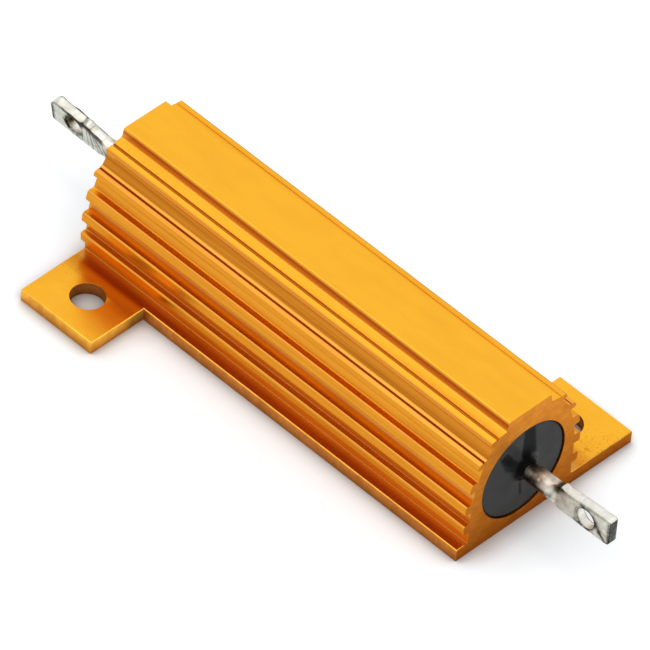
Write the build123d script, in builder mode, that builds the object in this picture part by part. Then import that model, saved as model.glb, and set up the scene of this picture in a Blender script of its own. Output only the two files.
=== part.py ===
from build123d import *
import os
from math import cos, radians, sin, sqrt

# Aluminium housed wirewound resistor, 50 W size, lying on its mounting base.
# Millimetres. +X runs along the body, +Z is up, and the origin is the middle of the underside.
# The foot at the +X end reaches out to +Y, the foot at the -X end reaches out to -Y.

# ---------------------------------------------------------------- driving dimensions

# mounting holes and the feet around them
hole_pitch_long = 39.7
hole_pitch_cross = 21.4
hole_diameter = 3.4
hole_end_margin = 4.65  # hole centre to the sawn end of the body
hole_inner_margin = 4.45  # hole centre to the milled flank of the foot
hole_outer_margin = 3.9  # hole centre to the outer edge of the foot
foot_thickness = 1.4

# extruded section round the bore
bore_diameter = 10.5
bore_floor = 1.15  # metal under the bore
side_wall = 1.35  # metal beside the bore, at the bottom of the grooves
crown_wall = 2.55  # metal above the bore, up to the plateau
base_lip = 0.6  # base edge beyond the widest rib

# ribbed arch
rib_count = 3
rib_pitch = 2.5
rib_thickness = 1.1
rib_depth = 0.75
rib_tip_radius = 0.22
rib_first_height = 3.35  # middle of the lowest rib
arch_centre_height = 4.8  # the arch is widest here
arch_rise = 10.9  # half axis of the elliptical arch that the rib tips follow

# thin lip above the ribs, one rib pitch further up, with a fine line along its sloping top
lip_root_thickness = 0.85
lip_slope = 0.25  # fall of its top for each millimetre away from the wall
lip_line_spacing = 11.1
lip_line_width = 0.2
lip_line_depth = 0.12

# shoulders and the raised plateau
plateau_width = 5.3
plateau_step = 0.95
plateau_flare = 0.3  # the step leans out by this much on each side
shoulder_width = 9.7
shoulder_fall = 0.35  # how much lower the outer rim of the shoulder is
shoulder_rim_thickness = 0.45  # the rim overhangs the wall below it
shoulder_corner_radius = 0.28
line_groove_spacing = 8.0
line_groove_width = 0.3
line_groove_depth = 0.3
plateau_edge_radius = 0.15

# moulded compound that fills the bore
compound_recess = 0.15  # from the sawn end of the body down to the compound
compound_rim_chamfer = 0.2

# wound element
element_rise = 0.45  # its axis lies this far above the middle of the bore
core_diameter = 6.4
core_inset = 7.5  # end of the core to the end of the body
core_edge_chamfer = 0.2
ribbon_width = 0.9
ribbon_thickness = 0.3
ribbon_clearance = 0.01  # oxide film under and over the ribbon
winding_turns = 13
cap_depth = 3.5
cap_wall = 0.4
cap_edge_chamfer = 0.2

# terminals
stem_diameter = 2.0
stem_reach = 3.5  # round part beyond the end of the body
press_ramp = 0.9  # slope from the round stem down to the flat blade
blade_flare = 1.5  # length over which the blade spreads to its root width
blade_overlap = 0.6  # length of the blade's edges that starts inside the stem
blade_reach = 11.1  # tip of the blade beyond the end of the body
blade_thickness = 1.1
blade_root_width = 2.6
blade_tip_width = 2.95
blade_lift = 0.3  # middle of the tip above the middle of the stem
blade_corner_radius = 0.3
eyelet_diameter = 2.1
eyelet_margin = 2.95  # eyelet centre to the tip
front_eyelet_rise = 0.0  # eyelet centre above the middle of the stem
back_eyelet_rise = 0.3
back_terminal_roll = 12.0  # degrees that the back blade is twisted out of upright

# ---------------------------------------------------------------- derived sizes

body_length = hole_pitch_long + 2 * hole_end_margin
body_end = body_length / 2
foot_length = hole_end_margin + hole_inner_margin
foot_span = hole_pitch_cross + 2 * hole_outer_margin

bore_radius = bore_diameter / 2
bore_height = bore_floor + bore_radius
body_height = bore_height + bore_radius + crown_wall
wall_half_width = bore_radius + side_wall
arch_half_width = wall_half_width + rib_depth
wall_rise = arch_rise - rib_depth
base_width = 2 * (arch_half_width + base_lip)
rib_heights = [rib_first_height + index * rib_pitch for index in range(rib_count)]
lip_underside = rib_first_height + rib_count * rib_pitch - rib_thickness / 2
lip_root_height = lip_underside + lip_root_thickness

shoulder_inner_height = body_height - plateau_step
shoulder_outer_height = shoulder_inner_height - shoulder_fall
shoulder_underside = shoulder_outer_height - shoulder_rim_thickness

element_height = bore_height + element_rise
core_radius = core_diameter / 2
core_end = body_end - core_inset
cap_radius = core_radius + cap_wall
cap_rim = core_end - cap_depth
cap_face = core_end + cap_wall
ribbon_mid_radius = core_radius + ribbon_clearance + ribbon_thickness / 2
winding_radius = core_radius + ribbon_thickness + 2 * ribbon_clearance
winding_pitch = (2 * cap_rim - ribbon_width) / winding_turns
compound_end = body_end - compound_recess

stem_radius = stem_diameter / 2
press_start = body_end + stem_reach
blade_tip = body_end + blade_reach


def wall_reach(height):
    """Half width of the wall, at the bottom of the grooves, at one height."""
    rise = max(0, height - arch_centre_height)
    return wall_half_width * sqrt(max(0, 1 - (rise / wall_rise) ** 2))


def lip_height(across):
    """Height of the lip's sloping top at one distance from the middle."""
    return lip_root_height - lip_slope * (across - wall_reach(lip_root_height))


def shoulder_height(across):
    """Height of the sloping shoulder at one distance from the middle."""
    slope = shoulder_fall / (shoulder_width / 2 - plateau_width / 2)
    return shoulder_inner_height - slope * (across - plateau_width / 2)


def lengthwise(direction, roll):
    """Plane on the element's axis that looks out of one end, its x across that end's blade."""
    across = (0, -sin(radians(roll)), cos(radians(roll)))
    return Plane(origin=(0, 0, element_height), x_dir=across, z_dir=(direction, 0, 0))


front_axis = lengthwise(1, 0)
back_axis = lengthwise(-1, back_terminal_roll)

# ---------------------------------------------------------------- housing

with BuildPart() as housing:
    # arched wall, its ribs and the thin lip, the tips trimmed to an elliptical arch
    with BuildSketch(Plane.YZ) as ribbed_arch:
        Rectangle(2 * wall_half_width, arch_centre_height, align=(Align.CENTER, Align.MIN))
        with Locations((0, arch_centre_height)):
            Ellipse(wall_half_width, wall_rise)
        with Locations([(0, height) for height in rib_heights]):
            Rectangle(2 * arch_half_width, rib_thickness)
        with BuildLine():
            Polyline(
                (0, lip_underside),
                (arch_half_width, lip_underside),
                (arch_half_width, lip_height(arch_half_width)),
                (wall_reach(lip_root_height), lip_root_height),
                (0, lip_root_height),
                close=True,
            )
        make_face()
        mirror(about=Plane.YZ)
        with Locations((0, arch_centre_height)):
            Ellipse(arch_half_width, arch_rise, mode=Mode.INTERSECT)
        with Locations((0, shoulder_outer_height)):
            Rectangle(foot_span, body_height, align=(Align.CENTER, Align.MIN), mode=Mode.SUBTRACT)
        Rectangle(foot_span, body_height, align=(Align.CENTER, Align.MAX), mode=Mode.SUBTRACT)
        tips = [
            corner
            for corner in ribbed_arch.vertices()
            if abs(corner.X) > wall_reach(corner.Y) + rib_depth / 2
        ]
        fillet(tips, radius=rib_tip_radius)
        lip_line_bottom = lip_height(lip_line_spacing / 2) - lip_line_depth
        with Locations([(side * lip_line_spacing / 2, lip_line_bottom) for side in (-1, 1)]):
            Rectangle(lip_line_width, body_height, align=(Align.CENTER, Align.MIN), mode=Mode.SUBTRACT)
    extrude(amount=body_end, both=True)

    # shoulders with overhanging rims, and the fine line groove along each
    with BuildSketch(Plane.YZ) as shoulders:
        with BuildLine():
            Polyline(
                (0, shoulder_underside),
                (shoulder_width / 2, shoulder_underside),
                (shoulder_width / 2, shoulder_outer_height),
                (plateau_width / 2, shoulder_inner_height),
                (0, shoulder_inner_height),
                close=True,
            )
        make_face()
        fillet(shoulders.vertices().sort_by_distance((shoulder_width / 2, body_height))[0],
               radius=shoulder_corner_radius)
        groove_top = shoulder_height(line_groove_spacing / 2)
        with Locations((line_groove_spacing / 2, groove_top - line_groove_depth)):
            Rectangle(line_groove_width, body_height, align=(Align.CENTER, Align.MIN), mode=Mode.SUBTRACT)
        mirror(about=Plane.YZ)
    extrude(amount=body_end, both=True)

    # raised plateau along the top
    with BuildSketch(Plane.YZ) as plateau:
        with BuildLine():
            Polyline(
                (-plateau_width / 2 - plateau_flare, shoulder_outer_height),
                (plateau_width / 2 + plateau_flare, shoulder_outer_height),
                (plateau_width / 2, body_height),
                (-plateau_width / 2, body_height),
                close=True,
            )
        make_face()
        fillet(plateau.vertices().group_by(Axis.Y)[-1], radius=plateau_edge_radius)
    extrude(amount=body_end, both=True)

    # base with a flange on each side, milled away but for one foot at each end
    with BuildSketch(Plane.XY):
        Rectangle(body_length, base_width)
        foot_middle_x = body_end - foot_length / 2
        foot_middle_y = foot_span / 4
        with Locations((foot_middle_x, foot_middle_y), (-foot_middle_x, -foot_middle_y)):
            Rectangle(foot_length, foot_span / 2)
    extrude(amount=foot_thickness)

    # bore
    with BuildSketch(Plane.YZ):
        with Locations((0, bore_height)):
            Circle(bore_radius)
    extrude(amount=body_end, both=True, mode=Mode.SUBTRACT)

    # one mounting hole through each foot
    with BuildSketch(Plane.XY):
        hole_x = hole_pitch_long / 2
        hole_y = hole_pitch_cross / 2
        with Locations((hole_x, hole_y), (-hole_x, -hole_y)):
            Circle(hole_diameter / 2)
    extrude(amount=foot_thickness, mode=Mode.SUBTRACT)

housing.part.label = "housing"

# ---------------------------------------------------------------- wound element

# ceramic core: a plain rod with broken edges
with BuildPart() as ceramic_core:
    with BuildSketch(front_axis):
        Circle(core_radius)
    extrude(amount=core_end, both=True)
    chamfer(ceramic_core.edges().filter_by(GeomType.CIRCLE), length=core_edge_chamfer)

ceramic_core.part.label = "ceramic_core"

# resistance ribbon: one helix on the core, from the rim of one cap to the rim of the other
winding_end = cap_rim - ribbon_width / 2
with BuildPart() as resistance_winding:
    with BuildLine() as ribbon_path:
        Helix(
            pitch=winding_pitch,
            height=2 * winding_end,
            radius=ribbon_mid_radius,
            center=(-winding_end, 0, element_height),
            direction=(1, 0, 0),
        )
    ribbon_start = ribbon_path.line @ 0
    away_from_core = ribbon_start - Vector(-winding_end, 0, element_height)
    ribbon_plane = Plane(origin=ribbon_start, x_dir=away_from_core, z_dir=ribbon_path.line % 0)
    with BuildSketch(ribbon_plane):
        Rectangle(ribbon_thickness, ribbon_width)
    sweep(is_frenet=True)

resistance_winding.part.label = "resistance_winding"


def build_cap(axis):
    """Pressed cup that grips one end of the core."""
    with BuildPart() as cap:
        with BuildSketch(axis.offset(cap_rim)):
            Circle(cap_radius)
        extrude(amount=cap_depth + cap_wall)
        closed_end = cap.edges().sort_by(Axis(axis.origin, axis.z_dir))[-1]
        chamfer(closed_end, length=cap_edge_chamfer)
        with BuildSketch(axis.offset(cap_rim)):
            Circle(core_radius)
        extrude(amount=cap_depth, mode=Mode.SUBTRACT)
    return cap.part


def build_terminal(axis, eyelet_rise):
    """Round stem welded to its cap, with its outer end pressed flat and pierced for solder."""
    blade_plane = Plane(origin=axis.origin, x_dir=axis.z_dir, z_dir=axis.y_dir)
    flank_plane = Plane(origin=axis.origin, x_dir=axis.z_dir, z_dir=axis.x_dir)
    press_end = press_start + press_ramp
    with BuildPart() as terminal:
        with BuildSketch(axis.offset(cap_face)):
            Circle(stem_radius)
        extrude(amount=press_end - cap_face)

        # both flanks of the stem slope down to the blade
        with BuildSketch(flank_plane):
            with BuildLine():
                Polyline(
                    (press_start, stem_radius),
                    (press_end, blade_thickness / 2),
                    (press_end, stem_radius),
                    close=True,
                )
            make_face()
            mirror(about=Plane.XZ)
        extrude(amount=stem_radius, both=True, mode=Mode.SUBTRACT)

        # flat blade, wider towards its cut tip
        with BuildSketch(blade_plane) as blade:
            with BuildLine():
                Polyline(
                    (press_start - blade_overlap, -blade_thickness / 2),
                    (press_start - blade_overlap, blade_thickness / 2),
                    (press_start + blade_flare, blade_root_width / 2),
                    (blade_tip, blade_lift + blade_tip_width / 2),
                    (blade_tip, blade_lift - blade_tip_width / 2),
                    (press_start + blade_flare, -blade_root_width / 2),
                    close=True,
                )
            make_face()
            fillet(blade.vertices().group_by(Axis.X)[-1], radius=blade_corner_radius)
            with Locations((blade_tip - eyelet_margin, eyelet_rise)):
                Circle(eyelet_diameter / 2, mode=Mode.SUBTRACT)
        extrude(amount=blade_thickness / 2, both=True)
    return terminal.part


cap_front = build_cap(front_axis)
cap_front.label = "cap_front"
cap_back = build_cap(back_axis)
cap_back.label = "cap_back"

terminal_front = build_terminal(front_axis, front_eyelet_rise)
terminal_front.label = "terminal_front"
terminal_back = build_terminal(back_axis, back_eyelet_rise)
terminal_back.label = "terminal_back"

# ---------------------------------------------------------------- moulded compound

with BuildPart() as moulding:
    with BuildSketch(Plane.YZ):
        with Locations((0, bore_height)):
            Circle(bore_radius)
    extrude(amount=compound_end, both=True)
    chamfer(moulding.edges().filter_by(GeomType.CIRCLE), length=compound_rim_chamfer)

    # it bears on the crests of the winding, and closes round the caps and stems
    with BuildSketch(front_axis):
        Circle(winding_radius)
    extrude(amount=cap_rim, both=True, mode=Mode.SUBTRACT)
    with BuildSketch(front_axis):
        Circle(core_radius)
    extrude(amount=core_end, both=True, mode=Mode.SUBTRACT)
    add([cap_front, cap_back, terminal_front, terminal_back], mode=Mode.SUBTRACT)

moulding.part.label = "moulding"

# ---------------------------------------------------------------- files

os.makedirs("parts", exist_ok=True)
export_step(housing.part, "parts/housing.step")
export_step(moulding.part, "parts/moulding.step")
export_step(ceramic_core.part, "parts/ceramic_core.step")
export_step(resistance_winding.part, "parts/resistance_winding.step")
export_step(cap_front, "parts/cap_front.step")
export_step(cap_back, "parts/cap_back.step")
export_step(terminal_front, "parts/terminal_front.step")
export_step(terminal_back, "parts/terminal_back.step")
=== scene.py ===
# %% [markdown]
# # Aluminium housed resistor
#
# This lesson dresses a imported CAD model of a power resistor: a ribbed aluminium
# extrusion, a black compound that fills its bore, and a tinned terminal at each end.
# The CAD model stays as the frame. It gives every size and place, and the scene adds
# finer shapes, finishes, light and a camera.

# %% Load the frame
from math import cos, exp, hypot, radians, sin, sqrt

import bmesh
import bpy
from mathutils import Matrix, Vector, noise


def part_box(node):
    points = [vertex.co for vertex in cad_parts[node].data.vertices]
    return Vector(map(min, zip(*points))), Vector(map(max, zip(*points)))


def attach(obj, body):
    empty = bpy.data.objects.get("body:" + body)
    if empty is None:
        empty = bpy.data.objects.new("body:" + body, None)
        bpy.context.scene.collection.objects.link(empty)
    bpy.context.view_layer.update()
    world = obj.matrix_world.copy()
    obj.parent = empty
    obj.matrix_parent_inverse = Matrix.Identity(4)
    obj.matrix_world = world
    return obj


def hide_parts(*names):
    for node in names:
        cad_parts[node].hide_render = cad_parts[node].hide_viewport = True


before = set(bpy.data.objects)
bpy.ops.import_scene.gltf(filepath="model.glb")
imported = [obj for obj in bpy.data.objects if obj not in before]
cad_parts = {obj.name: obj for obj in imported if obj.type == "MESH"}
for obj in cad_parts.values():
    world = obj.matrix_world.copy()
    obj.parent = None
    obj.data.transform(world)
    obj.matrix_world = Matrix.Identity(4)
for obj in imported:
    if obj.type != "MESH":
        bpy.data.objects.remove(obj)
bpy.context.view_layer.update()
print("frame loaded:", sorted(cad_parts))

# %% [markdown]
# Such a part is drawn in millimetres, and Blender works in metres. One factor turns the
# first into the second. Plain lengths on the part are in millimetres, and a length that
# is multiplied by the factor is ready for Blender. The floor, the lamp and the camera
# are placed in metres.

# %% Units and the ends of the housing
MM = 0.001

housing_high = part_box("housing")[1]
body_end = housing_high[0] / MM
body_top = housing_high[2] / MM
print("body ends at", round(body_end, 2), "mm, its top is at", round(body_top, 2), "mm")

# %% [markdown]
# A CAD mesh arrives as loose triangles. To give it softer edges it is copied, its
# doubled corners are merged, and triangles that lie in one plane are joined again, so
# that an edge is one long edge. The CAD node itself is left as it is.

# %% Copy a CAD node as a clean mesh
weld_distance = 0.002 * MM
flat_angle = radians(0.3)


def copy_of_node(node):
    """A bmesh of one CAD node, with merged corners and whole flat faces."""
    shape = bmesh.new()
    shape.from_mesh(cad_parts[node].data)
    bmesh.ops.remove_doubles(shape, verts=shape.verts, dist=weld_distance)
    bmesh.ops.dissolve_limit(shape, angle_limit=flat_angle, verts=shape.verts, edges=shape.edges)
    print(node, "copied with", len(shape.faces), "faces")
    return shape


# %% [markdown]
# A finished piece is an object at the origin, with its place in its mesh. It rides on the part's one
# rigid body and carries its materials, and the CAD node that it stands for is hidden. A skin that only
# lies on a node stands for none. A node that keeps its own shape is given a finish and nothing else.

# %% Make a piece or dress a node


def finished_piece(name, shape, materials, stands_for=None):
    """Turns a bmesh into a named piece, which may stand for one CAD node."""
    mesh = bpy.data.meshes.new(name)
    shape.to_mesh(mesh)
    shape.free()
    for material in materials:
        mesh.materials.append(material)
    piece = bpy.data.objects.new(name, mesh)
    bpy.context.scene.collection.objects.link(piece)
    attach(piece, "root")
    if stands_for is not None:
        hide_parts(stands_for)
    print(name, "has", len(mesh.polygons), "faces")
    return piece


def dress(node, material):
    """Gives a CAD node one finish."""
    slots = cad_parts[node].data.materials
    slots.clear()
    slots.append(material)
    print(node, "is finished in", material.name)


# %% [markdown]
# Every finish here is built the same way: a Principled shader, patterns that read the
# piece's own Object coordinates, and colour ramps between a few tones. Small helpers
# keep each finish short enough to read. The first ones make the shader and the numbers
# that drive it: noise, or a number that the mesh itself carries.

# %% Shader and patterns
white = (1.0, 1.0, 1.0)


def new_finish(name, metallic, roughness, glancing=white):
    """A material with one Principled shader."""
    material = bpy.data.materials.new(name)
    material.use_nodes = True
    tree = material.node_tree
    shader = tree.nodes["Principled BSDF"]
    shader.inputs["Metallic"].default_value = metallic
    shader.inputs["Roughness"].default_value = roughness
    shader.inputs["Specular Tint"].default_value = (*glancing, 1.0)
    return material, tree, shader


def stretched_noise(tree, waves, detail=3.0, rough=0.55):
    """Noise in Object coordinates, with its own number of waves per metre along each axis."""
    place = tree.nodes.new("ShaderNodeTexCoord")
    mapping = tree.nodes.new("ShaderNodeMapping")
    mapping.inputs["Scale"].default_value = waves
    pattern = tree.nodes.new("ShaderNodeTexNoise")
    pattern.inputs["Scale"].default_value = 1.0
    pattern.inputs["Detail"].default_value = detail
    pattern.inputs["Roughness"].default_value = rough
    tree.links.new(place.outputs["Object"], mapping.inputs["Vector"])
    tree.links.new(mapping.outputs["Vector"], pattern.inputs["Vector"])
    return pattern.outputs["Fac"]


def attribute(tree, name):
    """Reads a number that a mesh carries."""
    node = tree.nodes.new("ShaderNodeAttribute")
    node.attribute_type = "GEOMETRY"
    node.attribute_name = name
    return node.outputs["Fac"]


# %% [markdown]
# A number may be multiplied by another, or moved from one range to another. It can
# also be read as a height: bump then tilts the light on the surface without any new
# faces, which suits relief of a hundredth of a millimetre.

# %% Products, ranges and bump


def product(tree, first, second):
    """One number times another."""
    node = tree.nodes.new("ShaderNodeMath")
    node.operation = "MULTIPLY"
    tree.links.new(first, node.inputs[0])
    tree.links.new(second, node.inputs[1])
    return node.outputs["Value"]


def ranged(tree, factor, low, high, to_low, to_high):
    """Maps a factor's span onto another span and holds it there."""
    node = tree.nodes.new("ShaderNodeMapRange")
    node.inputs["From Min"].default_value = low
    node.inputs["From Max"].default_value = high
    node.inputs["To Min"].default_value = to_low
    node.inputs["To Max"].default_value = to_high
    tree.links.new(factor, node.inputs["Value"])
    return node.outputs["Result"]


def bump(tree, shader, height, depth):
    """Relief of a stated depth in metres."""
    node = tree.nodes.new("ShaderNodeBump")
    node.inputs["Strength"].default_value = 1.0
    node.inputs["Distance"].default_value = depth
    tree.links.new(height, node.inputs["Height"])
    tree.links.new(node.outputs["Normal"], shader.inputs["Normal"])


# %% [markdown]
# Colour comes last. A ramp gives each number its colour, and a mix lays one colour over
# another. A Mix node has sockets for every kind of data, so the ones for colour are
# chosen by their number.

# %% Ramps and mixes
MIX_SOCKETS_FOR_COLOUR = (0, 6, 7)
MIX_RESULT_FOR_COLOUR = 2


def ramp(tree, factor, stops):
    """Colour ramp over a factor; stops are (position, colour)."""
    node = tree.nodes.new("ShaderNodeValToRGB")
    band = node.color_ramp
    while len(band.elements) < len(stops):
        band.elements.new(0.5)
    for element, (position, colour) in zip(band.elements, stops):
        element.position = position
        element.color = (*colour, 1.0)
    tree.links.new(factor, node.inputs["Fac"])
    return node.outputs["Color"]


def mixed(tree, factor, first, second, blend="MIX"):
    """Mix of two colours; the factor and the colours may be values or sockets."""
    node = tree.nodes.new("ShaderNodeMix")
    node.data_type = "RGBA"
    node.blend_type = blend
    for index, value in zip(MIX_SOCKETS_FOR_COLOUR, (factor, first, second)):
        if isinstance(value, bpy.types.NodeSocket):
            tree.links.new(value, node.inputs[index])
        elif isinstance(value, tuple):
            node.inputs[index].default_value = (*value, 1.0)
        else:
            node.inputs[index].default_value = value
    return node.outputs[MIX_RESULT_FOR_COLOUR]


# %% [markdown]
# The bar is dyed gold, and light and shade are painted into that gold. Open faces are the plain gold,
# grooves and corners get painted shade and look brown, and edges get a painted highlight. Painting
# that by hand would take long, so each corner of each face is given one number, its tone, from its
# place in the section. Tone 0 is the deepest painted shade, and the tones near a third are the painted
# shade of the grooves. Then come the golds, and the last two are painted highlights on edges, which
# have a peach colour. The ramp holds the colours of a few tones, and the others lie between two of
# them.

# %% Tones of the dye, painted shade and painted highlights
# Tone stops: painted shade first, then the golds, then painted highlights.
deepest_shade = 0.0
dark_shade = 0.25
groove_shade = 0.35
recess_shade = 0.43
soft_gold = 0.6
open_gold = 0.9
peach_highlight = 0.94
edge_highlight = 1.0
dye_and_shading_colours = (
    (deepest_shade, (0.36, 0.100, 0.010)),
    (dark_shade, (0.55, 0.200, 0.030)),
    (groove_shade, (0.69, 0.288, 0.055)),
    (recess_shade, (0.66, 0.244, 0.022)),
    (soft_gold, (0.76, 0.312, 0.026)),
    (open_gold, (0.98, 0.485, 0.034)),
    (peach_highlight, (0.90, 0.385, 0.062)),
    (edge_highlight, (0.80, 0.325, 0.050)),
)
# Tones for single places of the section: painted shade at roots, lines, bends and the lip, and two
# golds.
foot_root_shade = 0.1
root_shade = 0.2
line_groove_shade = 0.3
bend_shade = 0.4
lip_shade = 0.45
rib_gold = 0.55
rim_gold = 0.8
print("tones of the dye:", [position for position, colour in dye_and_shading_colours])

# %% [markdown]
# The section has a base with feet, an arch with three ribs and a thin lip on each side, a recess under
# each shoulder, and a plateau that stands on a step. Where a face lies is told by three numbers: its
# distance across from the middle plane, its height, and how far it looks up, which is 1 for a level
# face and 0 for an upright one. The step walls get painted shade along their middle and are painted
# lighter at their foot and top edge. Small margins are written beside the height or width that they
# widen.

# %% Tone of the top of the section
plateau_half_width = 2.75
step_half_width = 3.1
step_foot = 13.15
wall_middle = 13.85
wall_edge = 0.25
line_middle = 4.0
line_half_width = 0.16
line_reach = 0.2
rim_bend = 4.55
rim_top = 12.9
rim_underside = 12.45
fully_level = 0.98
level = 0.9
sloping = 0.8
open_to_light = 0.75
upright = 0.45
step_edge_gold = 0.8
step_foot_gold = 0.75


def step_wall_tone(height):
    """Tone of a step wall: painted shade along its middle, painted lighter at its foot and its top
    edge.
    """
    from_foot = (height - step_foot) / (wall_middle - step_foot)
    from_middle = max(0.0, (height - wall_middle) / wall_edge)
    return max(step_edge_gold * from_middle, step_foot_gold * (1.0 - from_foot))


def top_tone(across, height, up):
    """Tone of the plateau, its steps and the two shoulders."""
    if across < plateau_half_width and up > level:
        return open_gold
    if across < step_half_width and height > step_foot - 0.1 and up < upright:
        return step_wall_tone(height)
    if abs(across - line_middle) < line_half_width and (up < sloping or height < rim_top + 0.05):
        return line_groove_shade
    if across > rim_bend and up < fully_level:
        return soft_gold if up > level else bend_shade
    return open_gold if up > open_to_light else groove_shade


print("tone of the plateau:", top_tone(0.0, body_top, 1.0))

# %% [markdown]
# The wall between the ribs is an elliptical arch, so how far a rib stands out is its distance past
# that arch. The edges of the ribs get a painted highlight, a brighter peach one on the middle ribs.
# The groove roots get painted shade, and the level flats of the ribs are painted lighter with their
# height.

# %% Tone of the ribs
arch_centre = 4.8
arch_half_width = 6.6
arch_rise = 10.15
rib_edges_peach = (5.0, 8.0)
rib_from = 0.4
lowest_flat = 6.0
lower_groove = 6.2
upper_wall = 8.9


def flat_tone(height):
    """Tone of the level flat of a rib: painted light, lighter for each millimetre of height."""
    return 0.1 * height - 0.2


def past_arch(across, height):
    """Distance from the wall between the ribs out to a place."""
    above = max(0.0, height - arch_centre) / arch_rise
    return across - arch_half_width * sqrt(max(0.0, 1.0 - above * above))


def rib_tone(across, height, up):
    """Tone of the ribs and of the wall between them."""
    out = past_arch(across, height)
    if out > rib_from and 0.5 < up < level:
        return peach_highlight if rib_edges_peach[0] < height < rib_edges_peach[1] else edge_highlight
    if up > 0.97 and height > lowest_flat:
        return open_gold if out < rib_from - 0.05 else flat_tone(height)
    if height < lower_groove and out < rib_from - 0.1 and 0.15 < abs(up) < 0.95:
        return root_shade
    return rib_gold if out > rib_from or height > upper_wall else groove_shade


print("tone between the ribs:", rib_tone(arch_half_width, arch_centre, 0.0))

# %% [markdown]
# The rest of the section is the recess under the shoulder, which gets painted shade, the lip below it,
# and the base. Its feet carry a painted reflection of the body: brown beside the wall and lighter away
# from it.

# %% Tone of the whole section
recess_foot = 11.15
lip_underside = 10.3
lip_top = lip_underside + 0.4
lip_bends = (5.1, 6.0)
lip_slope = 0.6
bevel_slope = 0.3
base_top = 1.4
ribs_from = base_top + 0.3
foot_lines = (7.6, 9.4)
foot_fade = 2.4


def foot_tone(across):
    """Tone of the top of a foot: a painted reflection of the body, brown beside the wall and gold
    further out.
    """
    share = min(1.0, max(0.0, (across - foot_lines[0]) / foot_fade))
    return groove_shade + (open_gold - groove_shade) * share


def section_tone(across, height, up):
    """Tone at one place of the section."""
    if height > rim_underside:
        return top_tone(across, height, up)
    if height > recess_foot and up < sloping:
        return recess_shade
    if height > lip_top and up > lip_slope:
        if across > lip_bends[1]:
            return soft_gold
        return peach_highlight if across > lip_bends[0] else lip_shade
    if height > ribs_from:
        return rib_tone(across, height, up)
    if up > level:
        return foot_tone(across)
    if up > bevel_slope:
        return rim_gold if across > foot_lines[0] else foot_root_shade
    return groove_shade


print("tones across a foot:", [round(section_tone(across, base_top, 1.0), 2) for across in (7, 9, 14)])

# %% [markdown]
# Some marks are on one side only. The line on the far shoulder gets a painted highlight in place of
# its shade. The shoulder on the near side is browner towards the front and pitted towards the back, a
# dark line of painted shade runs along the lip below it, and the feet are pitted at their roots. A
# bell, a smooth hill that fades out on all sides, says how strong the pits at a foot are.

# %% Marks on one side
near_shoulder = (3.1, 3.85)
shoulder_browning = 0.28
shoulder_pits = 0.5
lip_line = -5.55
lip_line_half_width = 0.12
pit_patches = (
    ((23.0, 8.8), (2.0, 3.0), 1.0),
    ((-24.0, -8.6), (2.5, 1.5), 0.5),
)


def bell(distance, width):
    """Smooth hill that is 1 in the middle and fades out over its width."""
    return exp(-((distance / width) ** 2))


def on_near_shoulder(place, up):
    """True on the level strip between the step and the line, on the near side."""
    return near_shoulder[0] < -place.y < near_shoulder[1] and place.z > rim_top and up > level


def towards_front(place):
    """0 at the back end of the bar and 1 at its front end."""
    return 0.5 + 0.5 * place.x / body_end


def corner_tone(place, up):
    """Tone at one corner of a face, with the marks that one side has."""
    # Painted highlight in the line on the far shoulder.
    if abs(place.y - line_middle) < line_reach and place.z > rim_underside:
        return rim_gold
    # Painted shade along the line on the near lip.
    if abs(place.y - lip_line) < lip_line_half_width and place.z > lip_top and up > lip_slope:
        return deepest_shade
    tone = section_tone(abs(place.y), place.z, up)
    if on_near_shoulder(place, up):
        tone -= shoulder_browning * towards_front(place)
    return tone


def pitted(place, up):
    """Up to 1 where the faces carry small pits."""
    if on_near_shoulder(place, up):
        return shoulder_pits * (1.0 - towards_front(place))
    if place.z > base_top + 0.1:
        return 0.0
    total = 0.0
    for middle, reach, strength in pit_patches:
        away = hypot((place.x - middle[0]) / reach[0], (place.y - middle[1]) / reach[1])
        total += strength * bell(away, 1.0)
    return total


print("pits at the root of the far foot:", round(pitted(Vector((23.0, 8.8, base_top)), 1.0), 2))

# %% [markdown]
# All these numbers are written into the mesh as attributes, where the shader can read
# them. Each corner is read a little inside its face, so that a corner on the border of
# two tones takes the tone of its own face.

# %% Write the tone into the mesh
inset_share = 0.1
lines_in_recess = 1.0
lines_on_ribs = 0.5
lines_elsewhere = 0.04


def die_lines(height):
    """How strongly the lines of the die show at one height."""
    if recess_foot < height < rim_underside:
        return lines_in_recess
    return lines_on_ribs if ribs_from < height < rim_underside else lines_elsewhere


def paint_tone(shape):
    """Writes tone, die lines and pits of every face corner into attributes."""
    tone = shape.loops.layers.float.new("tone")
    lined = shape.loops.layers.float.new("lined")
    pits = shape.loops.layers.float.new("pits")
    for face in shape.faces:
        middle = face.calc_center_median()
        for corner in face.loops:
            place = corner.vert.co.lerp(middle, inset_share) / MM
            corner[tone] = corner_tone(place, face.normal.z)
            corner[lined] = die_lines(middle.z / MM)
            corner[pits] = pitted(place, face.normal.z)


# %% [markdown]
# The housing is pushed through a die and then dyed gold. The die leaves fine lines
# along the bar, so the pattern is stretched: a few waves along X, thousands across it.
# An anisotropic shader would stretch the highlights too, but lines in the colour and in the relief can
# be seen from every side. The tone chooses the colour: the dye's gold, with painted shade in the
# grooves and painted highlights on the edges. The lines and soft clouds lie over it, and small dark
# specks where the pits are.

# %% Anodised aluminium, as the die left it
gold_glancing = (1.0, 0.78, 0.50)
speck_colour = (0.42, 0.13, 0.006)


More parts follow.
